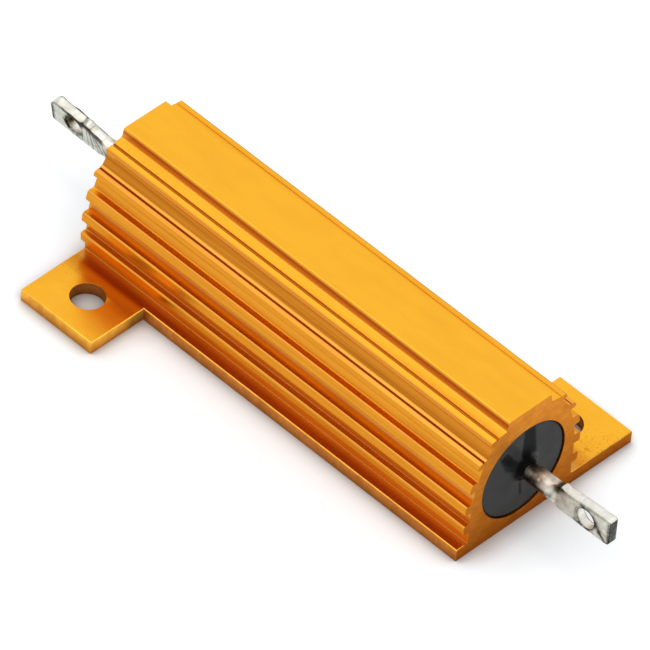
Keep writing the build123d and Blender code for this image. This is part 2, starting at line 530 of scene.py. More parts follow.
def die_drawn_gold():
    """Gold anodised extrusion with die lines along X, and painted shade and highlights from the tone.
    """
    roughness = 0.27
    material, tree, shader = new_finish("gold_drawn", 1.0, roughness, gold_glancing)
    # The dye's gold, with painted shade and painted highlights chosen by the tone.
    dye_and_shading = ramp(tree, attribute(tree, "tone"), dye_and_shading_colours)
    lines = stretched_noise(tree, (30.0, 3000.0, 3000.0), rough=0.6)
    clouds = stretched_noise(tree, (160.0, 420.0, 420.0), detail=4.0)
    specks = stretched_noise(tree, (3800.0, 3800.0, 3800.0), detail=1.0)
    line_shade = ramp(tree, lines, ((0.34, (0.72, 0.62, 0.50)), (0.58, white)))
    cloud_shade = ramp(tree, clouds, ((0.3, (0.90, 0.86, 0.80)), (0.6, white)))
    lined = mixed(tree, attribute(tree, "lined"), dye_and_shading, line_shade, "MULTIPLY")
    clouded = mixed(tree, 0.55, lined, cloud_shade, "MULTIPLY")
    speck_share = ranged(tree, specks, 0.60, 0.68, 0.0, 0.7)
    specked = mixed(tree, product(tree, speck_share, attribute(tree, "pits")), clouded, speck_colour)
    tree.links.new(specked, shader.inputs["Base Color"])
    lines_here = product(tree, lines, attribute(tree, "lined"))
    dullness = ranged(tree, lines_here, 0.0, 0.4, roughness - 0.02, roughness + 0.04)
    tree.links.new(dullness, shader.inputs["Roughness"])
    bump(tree, shader, lines_here, 0.004 * MM)
    return material


gold_drawn = die_drawn_gold()
print("finish:", gold_drawn.name)

# %% [markdown]
# The bar is sawn to length, and its flange is milled away between the feet. Both cuts are rougher and
# browner than the drawn faces, with a mottled tone. One function makes both, since only their strokes
# and colours differ. On them the tone attribute runs from deep through pale to lit, in their own three
# colours, which paint shade and light onto the cuts.

# %% Cut aluminium
pale_from = 0.8


def cut_gold(name, waves, deep, pale, lit, roughness, depth):
    """Gold anodised cut, matte and mottled, with painted shade and light from the tone."""
    material, tree, shader = new_finish(name, 1.0, roughness, gold_glancing)
    strokes = stretched_noise(tree, waves, detail=4.0, rough=0.6)
    clouds = stretched_noise(tree, (700.0, 700.0, 700.0), detail=4.0)
    dye_and_shading = ramp(tree, attribute(tree, "tone"), ((0.0, deep), (pale_from, pale), (1.0, lit)))
    mottle = ramp(tree, clouds, ((0.32, (0.88, 0.84, 0.80)), (0.62, (1.04, 1.04, 1.04))))
    scratch = ramp(tree, strokes, ((0.35, (0.86, 0.82, 0.76)), (0.6, white)))
    mottled = mixed(tree, 1.0, dye_and_shading, mottle, "MULTIPLY")
    tree.links.new(mixed(tree, 1.0, mottled, scratch, "MULTIPLY"), shader.inputs["Base Color"])
    bump(tree, shader, strokes, depth)
    return material


gold_sawn = cut_gold(
    "gold_sawn",
    waves=(100.0, 1200.0, 3000.0),
    deep=(0.44, 0.125, 0.014),
    pale=(0.66, 0.245, 0.034),
    lit=(0.72, 0.270, 0.040),
    roughness=0.5,
    depth=0.012 * MM,
)
gold_milled = cut_gold(
    "gold_milled",
    waves=(1600.0, 1600.0, 900.0),
    deep=(0.30, 0.090, 0.030),
    pale=(0.66, 0.255, 0.055),
    lit=(1.0, 0.540, 0.075),
    roughness=0.42,
    depth=0.010 * MM,
)
print("finishes:", gold_sawn.name, gold_milled.name)

# %% [markdown]
# The housing keeps the form of its CAD node, and only its edges are softened. Picking
# hundreds of edges by hand is slow and breaks when a size changes, so they are found by
# the angle between their faces, by their direction and by their place.

# %% Find edges and faces of the housing
sharp_from = radians(24)
hole_place = (19.85, 10.7)
hole_reach = 1.75


def turned_edges(shape):
    """Edges where two faces meet at a clear angle."""
    return [
        edge
        for edge in shape.edges
        if len(edge.link_faces) == 2 and edge.calc_face_angle(0.0) > sharp_from
    ]


def runs_along(edge):
    """True for an edge that follows the length of the bar."""
    reach = edge.verts[0].co - edge.verts[1].co
    return abs(reach.x) > 0.99 * reach.length


def strip_width(face):
    """Width of a face that runs along the bar."""
    along = [vertex.co.x for vertex in face.verts]
    return face.calc_area() / (max(along) - min(along))


def level_with_base(place):
    """True for a place in mm at the height of the top of the base."""
    return abs(place.z - base_top) < 0.01


def at_hole(place):
    """True for a place in mm on the wall of one of the mounting holes."""
    return hypot(abs(place.x) - hole_place[0], abs(place.y) - hole_place[1]) < hole_reach


# %% [markdown]
# Groove roots get a small round, as a die has no sharp inner corner. The rim of the
# base is handled most and gets a bevel of its own, and every other outer edge a very
# small one, as the dye bath leaves it. A Bevel modifier would give them all one width,
# so the three groups are bevelled one after the other. The rim goes before the small
# bevels, so that they end cleanly against it.

# %% Round the edges of the housing
root_round = 0.12 * MM
rim_break = 0.1 * MM
edge_break = 0.05 * MM
narrow = 0.4 * MM
rim_reach = 0.2


def rounded(shape, edges, offset, segments, clamped=True):
    """Bevels some edges of a bmesh."""
    print("edges to round by", round(offset / MM, 2), "mm:", len(edges))
    bmesh.ops.bevel(
        shape,
        geom=edges,
        offset=offset,
        offset_type="OFFSET",
        segments=segments,
        profile=0.5,
        affect="EDGES",
        material=-1,
        clamp_overlap=clamped,
    )


def is_root(edge):
    """True for a groove root between two faces that leave room for a round."""
    if edge.is_convex or not runs_along(edge):
        return False
    return min(strip_width(face) for face in edge.link_faces) > narrow


def on_base_rim(edge):
    """True for an outer edge round the top of the base, but not for a facet of a hole."""
    at_top = all(level_with_base(vertex.co / MM) for vertex in edge.verts)
    return edge.is_convex and at_top and edge.calc_length() > MM


def still_sharp(edge):
    """True for an outer edge at a hole, or away from the rim of the base."""
    first, second = [vertex.co / MM for vertex in edge.verts]
    away = abs((first.z + second.z) / 2 - base_top) > rim_reach
    return edge.is_convex and (at_hole(first) or away)


shape = copy_of_node("housing")
rounded(shape, [edge for edge in turned_edges(shape) if is_root(edge)], root_round, 3)
rim_edges = [edge for edge in turned_edges(shape) if on_base_rim(edge)]
rounded(shape, rim_edges, rim_break, 3, clamped=False)
rounded(shape, [edge for edge in turned_edges(shape) if still_sharp(edge)], edge_break, 2)

# %% [markdown]
# A tone can only change where the mesh has corners. So each step wall gets a line along
# its middle, and the top of the base gets two lines on each side, all cut by a plane.
# Subdividing the faces would give corners too, but far more than are needed.

# %% Lines where the tone changes
step_wall = 2.77
step_wall_reach = 0.06
step_wall_slope = 0.4


def cut_faces(shape, faces, place, direction):
    """Cuts some faces of a bmesh with a plane."""
    edges = dict.fromkeys(edge for face in faces for edge in face.edges)
    corners = dict.fromkeys(vertex for face in faces for vertex in face.verts)
    bmesh.ops.bisect_plane(
        shape,
        geom=[*faces, *edges, *corners],
        plane_co=place,
        plane_no=direction,
        dist=0.001 * MM,
    )


def on_step_wall(face):
    """True for the upright part of the step on either side of the plateau."""
    middle = face.calc_center_median() / MM
    beside = abs(abs(middle.y) - step_wall) < step_wall_reach
    steep = 0.0 < face.normal.z < step_wall_slope
    return beside and steep and middle.z > step_foot and strip_width(face) > narrow


def on_base(face):
    """True for a level face on top of the base."""
    return face.normal.z > 0.99 and level_with_base(face.calc_center_median() / MM)


walls = [face for face in shape.faces if on_step_wall(face)]
cut_faces(shape, walls, (0.0, 0.0, wall_middle * MM), (0.0, 0.0, 1.0))
for side in (-1, 1):
    for across in foot_lines:
        tops = [face for face in shape.faces if on_base(face)]
        cut_faces(shape, tops, (0.0, side * across * MM, 0.0), (0.0, 1.0, 0.0))
print("step walls cut:", len(walls), "- faces in all:", len(shape.faces))

# %% [markdown]
# Where a die is worn, the line that it draws is fainter. So on the far shoulder the
# floor of the line's groove is lifted until it lies just under the shoulder's slope.

# %% The faint line on the far shoulder
shoulder_top = 13.06
shoulder_slope = 0.156
far_line_depth = 0.04
kept_relief = 0.1
lifted = 0
for vertex in shape.verts:
    place = vertex.co / MM
    in_groove = rim_underside + 0.1 < place.z < rim_top + 0.05
    if in_groove and abs(place.y - line_middle) < line_reach:
        shoulder = shoulder_top - shoulder_slope * (place.y - near_shoulder[1])
        vertex.co.z = (shoulder - far_line_depth + kept_relief * (place.z - rim_top)) * MM
        lifted += 1
print("corners lifted:", lifted)

# %% [markdown]
# Each face now takes one of three finishes: as the die drew it, sawn at the ends, or milled round the
# base. Its place and direction tell which. The sawn ends get painted light, paler towards the top. The
# milled walls get painted shade, darkest near the floor, those of the holes most of all, and the feet
# that stand out furthest are the palest. The bevel round the rim gets a painted highlight.

# %% Finish and tone of each face
DRAWN, SAWN, MILLED = range(3)
square_to_bar = 0.9
base_half_width = 7.95
hole_wall_tones = (0.2, 0.6)
base_wall_tones = (0.45, 0.8)
foot_wall_tones = (0.825, 1.0)


def cut_of(middle, normal):
    """Which tool made a face."""
    if abs(normal.x) > square_to_bar and abs(middle.x) > body_end - 0.1:
        return SAWN
    beside = abs(middle.y) > base_half_width - 0.1
    return MILLED if beside and middle.z < base_top + 0.02 and normal.z < level else DRAWN


def milled_tone(height, middle, normal):
    """Tone of a milled face, from the height of one corner: painted shade, darker towards the floor,
    and a painted highlight on a bevel.
    """
    if at_hole(middle):
        lower, upper = hole_wall_tones
    elif normal.z > bevel_slope:
        return edge_highlight
    elif abs(middle.y) > base_half_width + 0.1:
        lower, upper = foot_wall_tones
    else:
        lower, upper = base_wall_tones
    return lower + (upper - lower) * height / base_top


paint_tone(shape)
tone_layer = shape.loops.layers.float["tone"]
for face in shape.faces:
    middle = face.calc_center_median() / MM
    face.smooth = True
    face.material_index = cut_of(middle, face.normal)
    for corner in face.loops:
        height = corner.vert.co.z / MM
        # Painted light on the sawn ends and painted shade on the milled walls, both by height.
        if face.material_index == SAWN:
            corner[tone_layer] = min(1.0, height / body_top)
        elif face.material_index == MILLED:
            corner[tone_layer] = milled_tone(height, middle, face.normal)
for index, name in enumerate(("drawn", "sawn", "milled")):
    print(name, "faces:", sum(face.material_index == index for face in shape.faces))

# %% [markdown]
# Smooth shading alone would make the flat faces look bent beside their soft edges.
# Weighted normals give the large faces the say, so they stay flat.

# %% Housing
housing = finished_piece(
    "housing_extrusion",
    shape,
    (gold_drawn, gold_sawn, gold_milled),
    stands_for="housing",
)
housing.data.set_sharp_from_angle(angle=radians(35))
weighted = housing.modifiers.new("flat faces stay flat", "WEIGHTED_NORMAL")
weighted.keep_sharp = True

# %% [markdown]
# The compound that fills the bore is black silicone with a dull grey bloom. Dark reflections of the
# room are painted into it as near-black streaks, and painted shade makes it near black round each
# wire. Two materials would meet in a hard line, so it is one material, and an attribute says how dark
# a place is painted. The CAD node carries none, so it has bloom all over.

# %% Black compound


def black_compound():
    """Black compound with a grey bloom, painted near black where the attribute marks painted dark
    reflections and shade.
    """
    material, tree, shader = new_finish("compound_black", 0.0, 0.2)
    shader.inputs["Specular IOR Level"].default_value = 0.03
    patches = stretched_noise(tree, (420.0, 420.0, 420.0), detail=2.0)
    bloom = ramp(tree, patches, ((0.3, (0.048, 0.048, 0.048)), (0.7, (0.064, 0.064, 0.064))))
    # Painted dark reflections and shade: near black where the attribute is 1.
    tone = mixed(tree, attribute(tree, "painted_dark"), bloom, (0.002, 0.0022, 0.0025))
    tree.links.new(tone, shader.inputs["Base Color"])
    bump(tree, shader, patches, 0.012 * MM)
    return material


compound = black_compound()
dress("moulding", compound)

# %% [markdown]
# Streaks of painted dark reflection run out from each wire. A streak is drawn as a short outline, and
# a place is painted dark when it lies inside one. A level line from the place to one side crosses the
# outline an odd number of times then. The border of a streak is soft, so the distance from the place
# to the outline is measured too.

# %% Streaks of painted dark reflection
wire_radius = 1.0
shade_round_wire = 0.25
shade_round_wire_fade = 0.3
streak_border = 0.24


def from_line(point, start, end):
    """Distance from a point to the straight line between two others."""
    along = end - start
    share = min(1.0, max(0.0, (point - start).dot(along) / along.length_squared))
    return (point - start - along * share).length


def inside_by(point, outline):
    """Distance from a point to an outline: positive inside it, negative outside."""
    corners = [Vector(corner) for corner in outline]
    inside = False
    distances = []
    for start, end in zip(corners, corners[1:] + corners[:1]):
        distances.append(from_line(point, start, end))
        if (start.y > point.y) != (end.y > point.y):
            crossing = start.x + (end.x - start.x) * (point.y - start.y) / (end.y - start.y)
            inside = inside != (point.x < crossing)
    return min(distances) if inside else -min(distances)


def painted_darkness(point, streaks):
    """1 on the streaks of painted dark reflection and in the painted shade round the wire, 0 on the
    bloom.
    """
    painted_dark = bell(max(0.0, point.length - wire_radius - shade_round_wire), shade_round_wire_fade)
    for strength, outline in streaks:
        share = 0.5 + inside_by(point, outline) / streak_border
        painted_dark = max(painted_dark, strength * min(1.0, max(0.0, share)))
    return painted_dark


# %% [markdown]
# The compound creeps up each wire before it sets and leaves a small skirt. It could be
# sculpted, but a line that is spun once round the wire's axis is round by itself and
# takes few numbers. Skirt and skin are one closed profile line. Near its rim the line
# dips just below the end of the moulding, which carries the skin.

# %% Profile of the skin
skin_reach = 4.95
skin_rings = 40
skin_steps = 160
skin_overlap = 0.05
skin_dip = 0.04
skirt_height = 1.0
skirt_width = 0.36
crown_height = 0.02
crown_reach = 4.6


def skin_height(radius):
    """Height of the skin over the end of the moulding."""
    skirt = skirt_height * exp(-(radius - wire_radius + skin_overlap) / skirt_width)
    return skirt + crown_height * (1.0 - (radius / crown_reach) ** 4)


def spun_skin():
    """Skirt and skin as a bmesh round the Z axis."""
    skin = bmesh.new()
    inner = wire_radius - skin_overlap
    radii = [inner + (skin_reach - inner) * index / skin_rings for index in range(skin_rings + 1)]
    line = [(radius, skin_height(radius)) for radius in radii]
    line += [(skin_reach, -skin_dip), (inner, -skin_dip)]
    corners = [skin.verts.new((radius * MM, 0.0, height * MM)) for radius, height in line]
    edges = [skin.edges.new(pair) for pair in zip(corners, corners[1:] + corners[:1])]
    bmesh.ops.spin(
        skin,
        geom=edges,
        cent=(0.0, 0.0, 0.0),
        axis=(0.0, 0.0, 1.0),
        angle=radians(360),
        steps=skin_steps,
        use_merge=True,
    )
    bmesh.ops.remove_doubles(skin, verts=skin.verts, dist=0.001 * MM)
    return skin


# %% [markdown]
# Each skin is then turned onto its end of the bore. The wire stands a little above the
# bore's middle, so what would pass the bore is drawn in. Slow noise makes the skirt
# uneven, as compound that crept up by itself is.

# %% Lay a skin on each end
skirt_from = 0.3
skirt_lump_size = 0.8
bore_low, bore_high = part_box("moulding")
compound_end = bore_high[0] / MM
bore_middle = (bore_low[2] + bore_high[2]) / 2 / MM
core_low, core_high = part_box("ceramic_core")
wire_axis = (core_low[2] + core_high[2]) / 2 / MM
print("wire axis is", round(wire_axis - bore_middle, 3), "mm above the middle of the bore")


def compound_skin(name, direction, streaks):
    """Skirt and skin of compound at one end of the bore."""
    skin = spun_skin()
    painted_dark = skin.verts.layers.float.new("painted_dark")
    above_middle = wire_axis - bore_middle
    for vertex in skin.verts:
        across, rise, out = vertex.co / MM
        vertex[painted_dark] = painted_darkness(Vector((direction * across, rise)), streaks)
        if out > skirt_from:
            out *= 1.0 + 0.5 * noise.noise(Vector((across, rise, 0.0)) / skirt_lump_size)
        from_middle = hypot(across, rise + above_middle)
        if from_middle > skin_reach:
            across *= skin_reach / from_middle
            rise = (rise + above_middle) * skin_reach / from_middle - above_middle
        place = (direction * (compound_end + out), direction * across, wire_axis + rise)
        vertex.co = Vector(place) * MM
    bmesh.ops.recalc_face_normals(skin, faces=skin.faces)
    for face in skin.faces:
        face.smooth = True
    finished_piece(name, skin, (compound,))


# %% [markdown]
# At the front the painted dark reflection lies in a broad streak above the wire, a bent one beside it
# and a thin one below. The back end has two simple streaks. Each has a strength and the corners of its
# outline, measured from the middle of the wire.

# %% Skins of compound
front_streaks = (
    (
        1.0,
        (
            (-0.2, 4.5),
            (1.15, 4.3),
            (1.6, 0.8),
            (0.7, 1.25),
            (0.3, 0.4),
            (-0.2, -0.9),
            (-0.75, -1.3),
            (-1.2, -0.4),
            (-0.7, 0.65),
            (-0.3, 2.4),
        ),
    ),
    (0.75, ((-2.2, 3.0), (-3.2, 2.6), (-2.3, 0.7), (-1.0, -0.1), (-0.5, 0.9), (-1.3, 1.6))),
    (0.9, ((-0.5, -1.2), (-0.2, -1.2), (0.22, -3.8), (-0.02, -3.8))),
)
back_streaks = (
    (1.0, ((-0.3, 4.2), (0.8, 4.0), (0.9, 0.8), (-0.5, 0.8))),
    (0.7, ((-1.0, -0.6), (-2.9, -1.6), (-2.6, -2.6), (-0.5, -0.9))),
)
compound_skin("compound_skin_front", 1.0, front_streaks)
compound_skin("compound_skin_back", -1.0, back_streaks)

# %% [markdown]
# The terminals are tinned wire. Tin is pale and slightly cloudy. It is darker at its cut end, round
# the eyelet, under the upper edge of the blade and at the lump: the cut end is tarnished, and round
# the eyelet and under the edge this is painted shade. Painted highlights brighten it in places. A
# number on the mesh, called tarnish_and_shading, says where: 0 is clean tin, 1 is dark and -1 is a
# bright painted highlight. A painted image could do the same, but it would need the terminal laid out
# flat first.

# %% Tinned wire


def tinned():
    """Tin over wire: pale metal with soft clouds, dark places of tarnish and painted shade, and bright
    painted highlights.
    """
    roughness = 0.34
    material, tree, shader = new_finish("tin", 1.0, roughness, (0.85, 0.87, 0.9))
    clouds = stretched_noise(tree, (700.0, 1100.0, 1100.0), detail=5.0, rough=0.6)
    clean = ramp(tree, clouds, ((0.32, (0.46, 0.44, 0.355)), (0.62, (0.68, 0.66, 0.57))))
    dark = ramp(tree, clouds, ((0.35, (0.020, 0.018, 0.013)), (0.65, (0.075, 0.070, 0.056))))
    tarnish_and_shading = attribute(tree, "tarnish_and_shading")
    darkened = mixed(tree, ranged(tree, tarnish_and_shading, 0.0, 1.0, 0.0, 1.0), clean, dark)
    # Painted highlights: near white where the number falls below 0.
    highlighted = mixed(tree, ranged(tree, tarnish_and_shading, -1.0, 0.0, 1.0, 0.0), darkened, (0.97, 0.94, 0.90))
    tree.links.new(highlighted, shader.inputs["Base Color"])
    dullness = ranged(tree, clouds, 0.3, 0.7, roughness - 0.08, roughness + 0.1)
    tree.links.new(dullness, shader.inputs["Roughness"])
    bump(tree, shader, clouds, 0.012 * MM)
    return material


tin = tinned()
print("finish:", tin.name)

# %% [markdown]
# A terminal is a round wire whose end was pressed flat and pierced. Pressed metal has
# no sharp edge anywhere and no quite even face. Bevels would leave the faces even, so
# the CAD form is remeshed into small even cells, which are relaxed until every edge is
# round. The same cells can then be moved a little by each mark of the press.

# %% Soften a terminal
cell_size = 0.07 * MM
relax_rounds = 8


def softened(node):
    """The CAD terminal as small even cells with round edges."""
    shape = copy_of_node(node)
    mesh = bpy.data.meshes.new("remesh_source")
    shape.to_mesh(mesh)
    shape.free()
    source = bpy.data.objects.new("remesh_source", mesh)
    bpy.context.scene.collection.objects.link(source)
    remesh = source.modifiers.new("cells", "REMESH")
    remesh.mode = "VOXEL"
    remesh.voxel_size = cell_size
    depsgraph = bpy.context.evaluated_depsgraph_get()
    cells = bmesh.new()
    cells.from_mesh(source.evaluated_get(depsgraph).to_mesh())
    bpy.data.objects.remove(source)
    for _ in range(relax_rounds):
        bmesh.ops.smooth_vert(
            cells,
            verts=cells.verts,
            factor=0.5,
            use_axis_x=True,
            use_axis_y=True,
            use_axis_z=True,
        )
    for face in cells.faces:
        face.smooth = True
    return cells


# %% [markdown]
# Every mark of the press is placed on the blade: how far it reaches out from the end of
# the bar, how high it is across the blade, and how deep it is through it. The blade of
# the back terminal is turned a little, so its height and depth are turned with it. A
# place belongs to the round side or top of the wire, or to the flat face, the upper
# edge or the eyelet of the blade, and the regions fade into each other.

# %% Places on a terminal
flat_from = 3.9
flat_to = 4.5
blade_end = 11.1
blade_foot_top = 1.3
blade_flare = 0.48
eyelet_reach = 8.15
eyelet_radius = 1.05
face_depth = 0.36
turn_width = 0.3


def on_blade(place, direction, roll):
    """Reach along the wire, height across the blade and depth through it."""
    rise = place.z / MM - wire_axis
    sideways = place.y / MM
    across = -sideways * sin(roll) + rise * cos(roll)
    through = sideways * cos(roll) + rise * sin(roll)
    return direction * place.x / MM - body_end, across, through


def step_up(value, start, end):
    """0 before the start, 1 after the end, with a soft change between."""
    share = min(1.0, max(0.0, (value - start) / (end - start)))
    return share * share * (3.0 - 2.0 * share)


def blade_top(reach):
    """Height of the blade's upper edge at one reach."""
    return blade_foot_top + blade_flare * step_up(reach, flat_to - 0.1, blade_end - 0.1)


def region_shares(reach, across, through, from_eyelet):
    """How far a place belongs to each region of the terminal."""
    flat = step_up(reach, flat_from, flat_to)
    thick = abs(through)
    return {
        "face": flat * step_up(thick, face_depth, face_depth + 0.1),
        "side": (1.0 - flat) * step_up(thick - across, -turn_width, turn_width),
        "top": max(
            (1.0 - flat) * step_up(across - thick, -turn_width, turn_width),
            flat * step_up(across, blade_top(reach) - 0.25, blade_top(reach) - 0.1),
        ),
        "eyelet": 1.0 - step_up(from_eyelet, eyelet_radius - 0.03, eyelet_radius + 0.05),
    }


# %% [markdown]
# The tin is tarnished at the cut end, gets painted shade at the rim of the eyelet and under the upper
# edge, and a painted highlight deep in the eyelet. Single marks add more. A mark is a short stroke on
# one region of the terminal, and a spot is a small ball anywhere on it. Both have a width and a
# strength, and a negative strength paints the tin bright, as a highlight.

# %% Tarnish, painted shade and painted highlights
cut_end_from = blade_end - 0.08
cut_end_to = blade_end - 0.02
cut_end_dark = 0.95
cut_rim_dark = 0.35
eyelet_rim_shade = 0.7
under_top_shade = 0.9
eyelet_wall_highlight = 0.75


def tarnish_and_shading_at(place, shares, rim, wave, marks, spots):
    """How dark the tin is at one place, from tarnish, painted shade and painted highlights."""
    reach, across, through = place
    # Painted shade round the eyelet and under the upper edge, tarnish at the cut end.
    under_top = shares["face"] * bell(across - blade_top(reach) + 0.1, 0.17)
    dark = eyelet_rim_shade * rim + under_top_shade * under_top * (0.8 + 0.4 * wave)
    dark += cut_end_dark * step_up(reach, cut_end_from, cut_end_to)
    dark += cut_rim_dark * shares["face"] * bell(reach - blade_end + 0.05, 0.12)
    near_face = step_up(abs(through), face_depth, 0.5)
    # Painted highlight deep in the eyelet's wall, painted shade at its mouths.
    dark -= shares["eyelet"] * eyelet_wall_highlight * (1.0 - 2.0 * near_face)
    for region, start, end, half_width, strength in marks:
        if shares[region] > 0.0:
            point = Vector((reach, through if region == "top" else across))
            along = bell(from_line(point, Vector(start), Vector(end)), half_width)
            dark += shares[region] * strength * along
    for middle, radius, strength in spots:
        dark += strength * bell((Vector(place) - Vector(middle)).length, radius)
    return dark


# %% [markdown]
# The press moves metal as well. It leaves a lump where it squeezed the wire, a raised
# rim round the eyelet, faces that are never quite even and, on the back terminal, a
# worn tip and a fan of creases. Dark marks near the wire are pressed in a little.

# %% Press a terminal
lump_size = (0.32, 0.4, 0.6)
lump_lift = 0.2
lump_swell = 0.1
eyelet_rim_from_hole = 0.09
eyelet_rim_width = 0.15
eyelet_rim_swell = 0.05
dent_depth = 0.05
dents_fade = (6.6, 7.2)
unevenness = 0.03
wave_size = 0.9 * MM
fine_size = 0.3 * MM


def metal_moved(place, face_share, rim, wave, dark, lump_reach, worn_tip):
    """How far the press lifts the metal across the blade and swells it outwards."""
    reach, across, through = place
    lump = bell(reach - lump_reach, lump_size[0])
    lump *= bell(across - blade_top(reach), lump_size[1]) * bell(through, lump_size[2])
    tip = step_up(reach, blade_end - 1.1, blade_end + 0.1) ** 2 * step_up(across, -0.3, 1.7)
    lift = lump_lift * lump + unevenness * wave - worn_tip * tip
    dent = face_share * max(0.0, min(1.0, dark)) * (1.0 - step_up(reach, *dents_fade))
    swell = lump_swell * lump + eyelet_rim_swell * rim
    swell += unevenness * wave * face_share - dent_depth * dent
    return lift, swell


def pressed_terminal(node, direction, roll, eyelet_rise, lump_reach, worn_tip, marks, spots):
    """A terminal whose cells are moved as the press moved the metal, with its tarnish, painted shade
    and painted highlights.
    """
    cells = softened(node)
    layer = cells.verts.layers.float.new("tarnish_and_shading")
    across_axis = Vector((0.0, -sin(roll), cos(roll)))
    through_axis = Vector((0.0, cos(roll), sin(roll)))
    for vertex in cells.verts:
        place = on_blade(vertex.co, direction, roll)
        reach, across, through = place
        from_eyelet = hypot(reach - eyelet_reach, across - eyelet_rise)
        shares = region_shares(reach, across, through, from_eyelet)
        wave = noise.noise(vertex.co / wave_size)
        fine = noise.noise(vertex.co / fine_size)
        rim = bell(from_eyelet - eyelet_radius - eyelet_rim_from_hole, eyelet_rim_width)
        rim *= shares["face"] * (0.75 + 0.25 * fine)
        dark = tarnish_and_shading_at(place, shares, rim, wave, marks, spots)
        lift, swell = metal_moved(place, shares["face"], rim, wave, dark, lump_reach, worn_tip)
        side = 1.0 if through > 0 else -1.0
        vertex.co += (across_axis * lift + through_axis * side * swell) * MM
        vertex[layer] = min(1.0, max(-1.0, dark + 0.25 * fine))
    finished_piece(node + "_pressed", cells, (tin,), node)


# %% [markdown]
# Each mark below is a region, the reach and height of both ends of its stroke, its half width and its
# strength. On the top region the second number is the depth instead. A spot is its middle, its radius
# and its strength. The wire gets a painted glint in one small spot and is darker round it, and the
# darkest spots sit at the lump.

# %% Marks on the front terminal
# Negative strengths are painted highlights, such as the pale top of the blade and a glint on the wire;
# positive ones darken the tin with tarnish and painted shade.
front_marks = (
    ("side", (0.8, 0.0), (1.9, 0.0), 0.6, 0.9),
    ("top", (0.8, 0.0), (1.7, 0.0), 0.6, 0.85),
    ("top", (5.2, 0.1), (10.6, 0.1), 0.8, -0.6),
    ("side", (2.2, -0.2), (4.2, -0.2), 0.3, 0.7),
    ("face", (4.2, -0.95), (4.5, -0.9), 0.2, -0.6),
    ("face", (9.3, 0.5), (9.9, -0.35), 0.32, 0.9),
    ("face", (10.9, 1.3), (10.95, -1.1), 0.12, 0.7),
    ("face", (9.9, -0.35), (10.8, -1.15), 0.16, 0.9),
    ("face", (8.2, -1.15), (10.4, -1.3), 0.22, 0.6),
    ("face", (6.9, -0.9), (7.6, -1.15), 0.22, 0.7),
    ("face", (9.1, 0.9), (7.6, 1.25), 0.24, 0.6),
)
front_spots = (
    ((2.2, 0.2, -1.0), 0.7, 0.5),
    ((2.45, 0.7, -0.7), 0.13, -1.6),
    ((3.4, 0.85, -0.5), 0.45, -0.35),
    ((4.45, 0.8, -0.6), 0.42, 1.1),
    ((4.95, 1.3, -0.5), 0.42, 1.2),
    ((4.6, 1.2, 0.3), 0.4, 0.45),
    ((1.1, 0.9, -0.4), 0.7, 0.4),
)
print("front terminal:", len(front_marks), "marks and", len(front_spots), "spots")

# %% [markdown]
# The back terminal was pressed harder. Its blade is turned, its eyelet sits high, and
# five creases fan out between the wire and the eyelet.

# %% Marks on the back terminal
# Negative strengths are painted highlights on the top; positive ones darken it: painted shade on the
# side of the wire, under the edge and in the eyelet, and dark marks round the lump.
edge_marks = (
    ("top", (1.0, -0.1), (5.2, -0.1), 0.26, -0.75),
    ("top", (1.0, 0.45), (5.4, 0.45), 0.16, 0.3),
    ("side", (1.0, 0.3), (4.2, 0.3), 0.28, 0.9),
    ("face", (4.2, 0.75), (6.2, 1.2), 0.26, 1.0),
    ("face", (6.9, 1.15), (8.4, 1.5), 0.26, 0.8),
    ("top", (6.0, -0.4), (7.1, -0.4), 0.13, 0.8),
    ("top", (7.0, -0.3), (7.05, 0.35), 0.12, 0.8),
    ("top", (6.0, -0.2), (5.95, 0.2), 0.1, 0.5),
    ("top", (6.75, -0.05), (6.8, 0.1), 0.1, 0.7),
    ("top", (6.4, 0.1), (6.6, 0.1), 0.14, -0.5),
    ("top", (7.4, 0.1), (10.8, 0.1), 0.6, -0.3),
    ("eyelet", (7.9, 1.25), (9.25, -0.2), 0.6, 1.9),
)
# The creases are dark lines of painted shade, and they also press the face in a little.
creases = (
    ("face", (6.95, 0.45), (7.1, -0.9), 0.07, 0.8),
    ("face", (6.4, 0.8), (6.3, -1.1), 0.06, 0.7),
    ("face", (6.0, 0.9), (5.6, -1.2), 0.08, 0.9),
    ("face", (5.55, 0.75), (4.95, -1.15), 0.07, 0.7),
    ("face", (5.2, 0.6), (4.4, -0.9), 0.09, 0.9),
)
eyelet_and_end_marks = (
    ("face", (7.7, -0.9), (7.3, -1.1), 0.12, 0.6),
    ("face", (9.45, 0.35), (8.9, -0.6), 0.12, 0.8),
    ("face", (10.85, 1.2), (10.9, -1.0), 0.25, 1.1),
)
back_marks = edge_marks + creases + eyelet_and_end_marks
print("back terminal:", len(back_marks), "marks,", len(creases), "of them creases")

# %% [markdown]
# Both terminals go through the same press, each with its own settings. The lump of the
# front one sits at the foot of the blade, and that of the back one further out.

# %% Terminals
pressed_terminal(
    "terminal_front",
    direction=1.0,
    roll=0.0,
    eyelet_rise=0.0,
    lump_reach=4.85,
    worn_tip=0.0,
    marks=front_marks,
    spots=front_spots,
)
pressed_terminal(
    "terminal_back",
    direction=-1.0,
    roll=radians(12.0),
    eyelet_rise=0.3,
    lump_reach=6.5,
    worn_tip=0.55,
    marks=back_marks,
    spots=(),
)

# %% [markdown]
# The wound element is sealed inside, but it is finished as the real one is, because a
# part may be cut open or shown without its housing. The ceramic is matte and speckled,
# the ribbon has fine lines along the core, and the caps have lines the other way.

# %% Element inside the housing


def plain_finish(name, metallic, roughness, dark, light, waves, depth):
    """A two-tone finish with small marks."""
    material, tree, shader = new_finish(name, metallic, roughness)
    marks = stretched_noise(tree, waves, detail=4.0)
    tree.links.new(ramp(tree, marks, ((0.35, dark), (0.65, light))), shader.inputs["Base Color"])
    bump(tree, shader, marks, depth)
    return material


